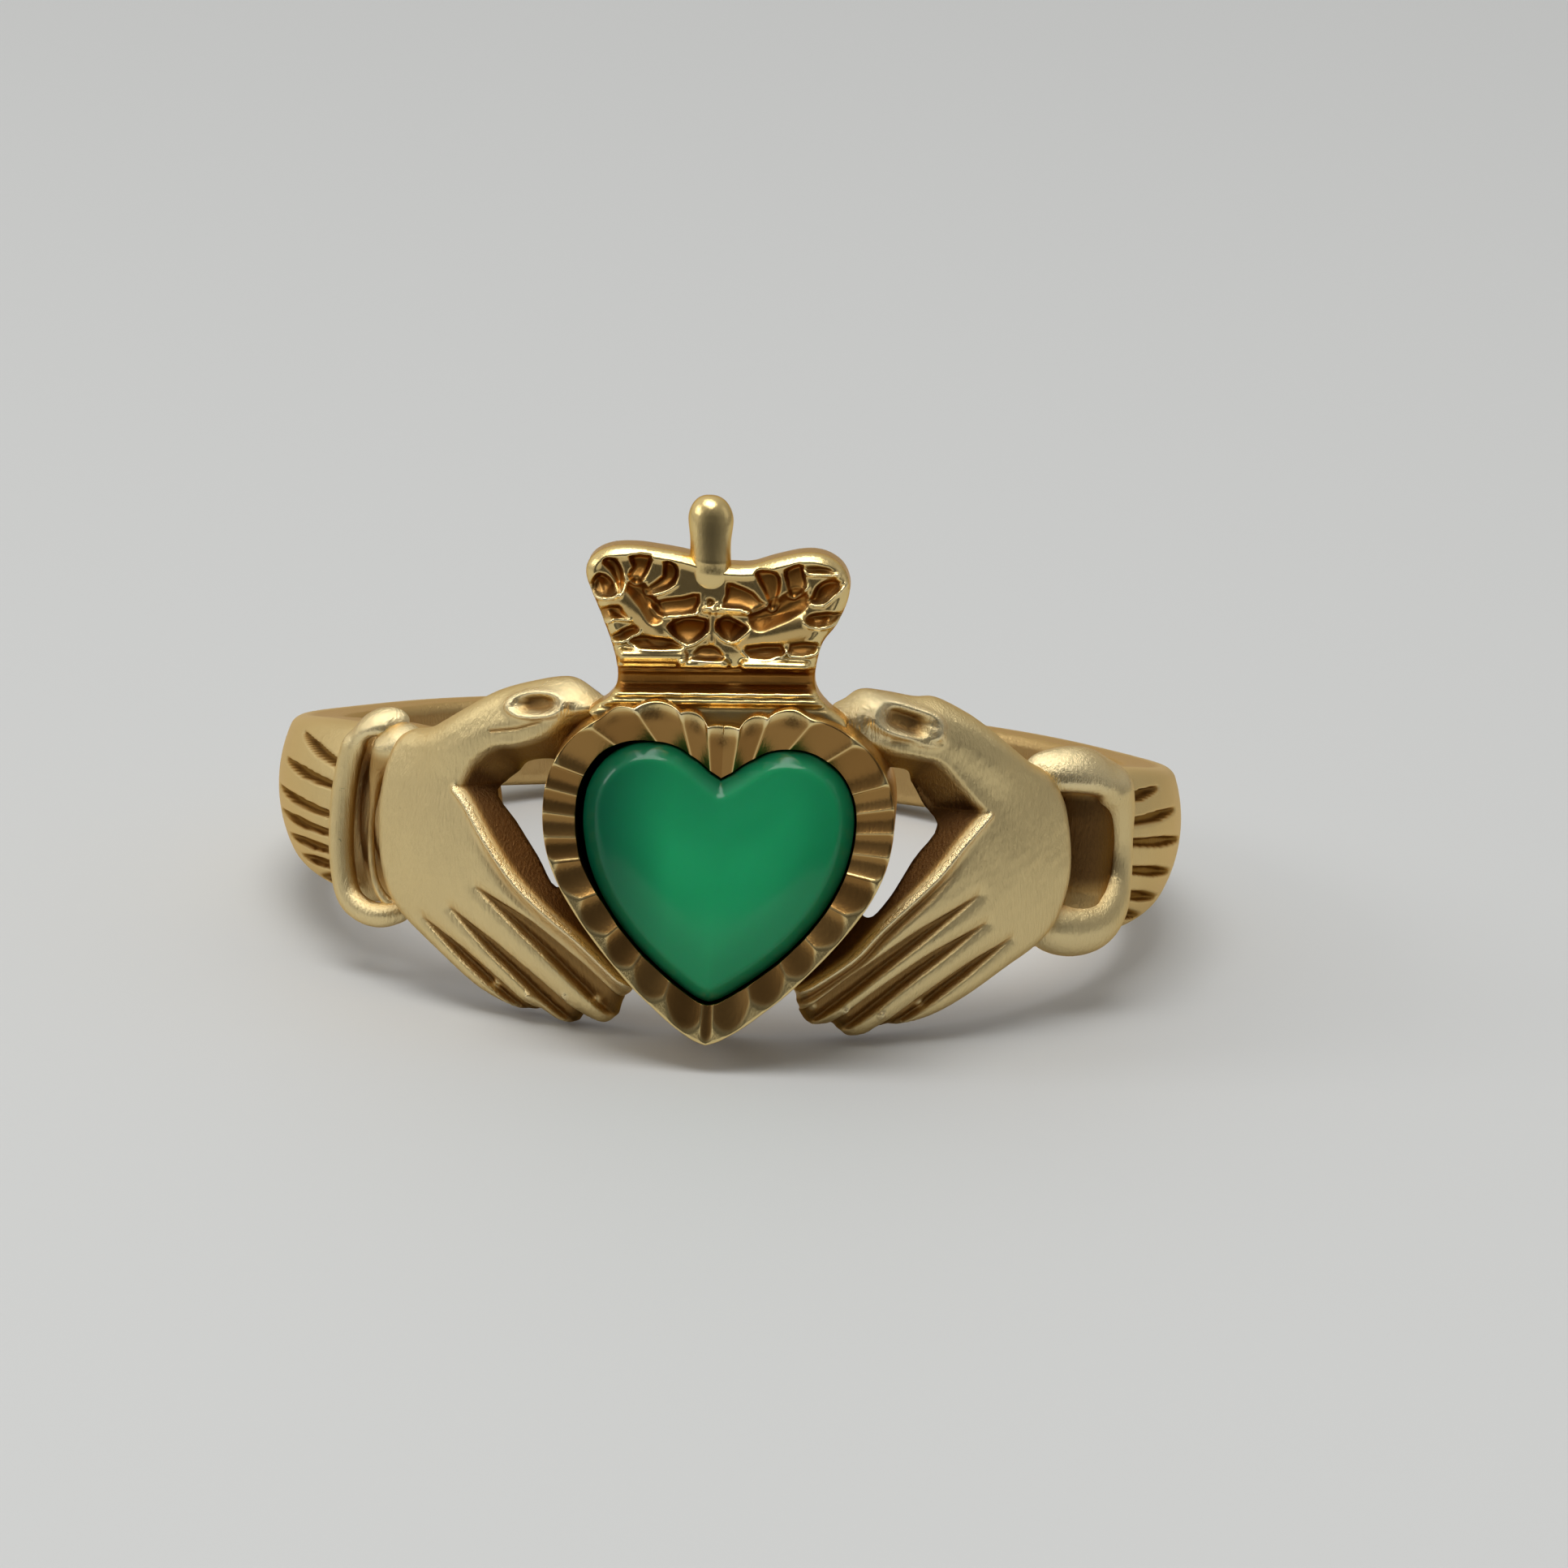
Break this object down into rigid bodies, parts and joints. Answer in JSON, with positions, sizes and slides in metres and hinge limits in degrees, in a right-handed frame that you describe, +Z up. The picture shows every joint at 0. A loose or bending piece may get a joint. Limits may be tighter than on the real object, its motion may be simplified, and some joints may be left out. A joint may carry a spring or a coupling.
{
  "type": "claddagh ring",
  "caption": "Gold claddagh ring: two cuffed hands hold a heart-shaped green cabochon in a milled bezel under a crown, on a plain band.",
  "frame": {"origin": "on the resting surface, under the middle of the ring's box", "axes": "+X to the ring's right as seen from the front, -Y to the heart, +Z up; the finger axis leans back about 9 degrees from +Z"},
  "size_m": [0.02, 0.0214, 0.0118],
  "materials": {
    "gold": "9 carat yellow gold, worn satin on the high places and brown in the recesses",
    "stone": "polished translucent green cabochon"
  },
  "bodies": {
    "root": {"gold_ring": "gold", "heart_stone": "stone"}
  },
  "joints": []
}
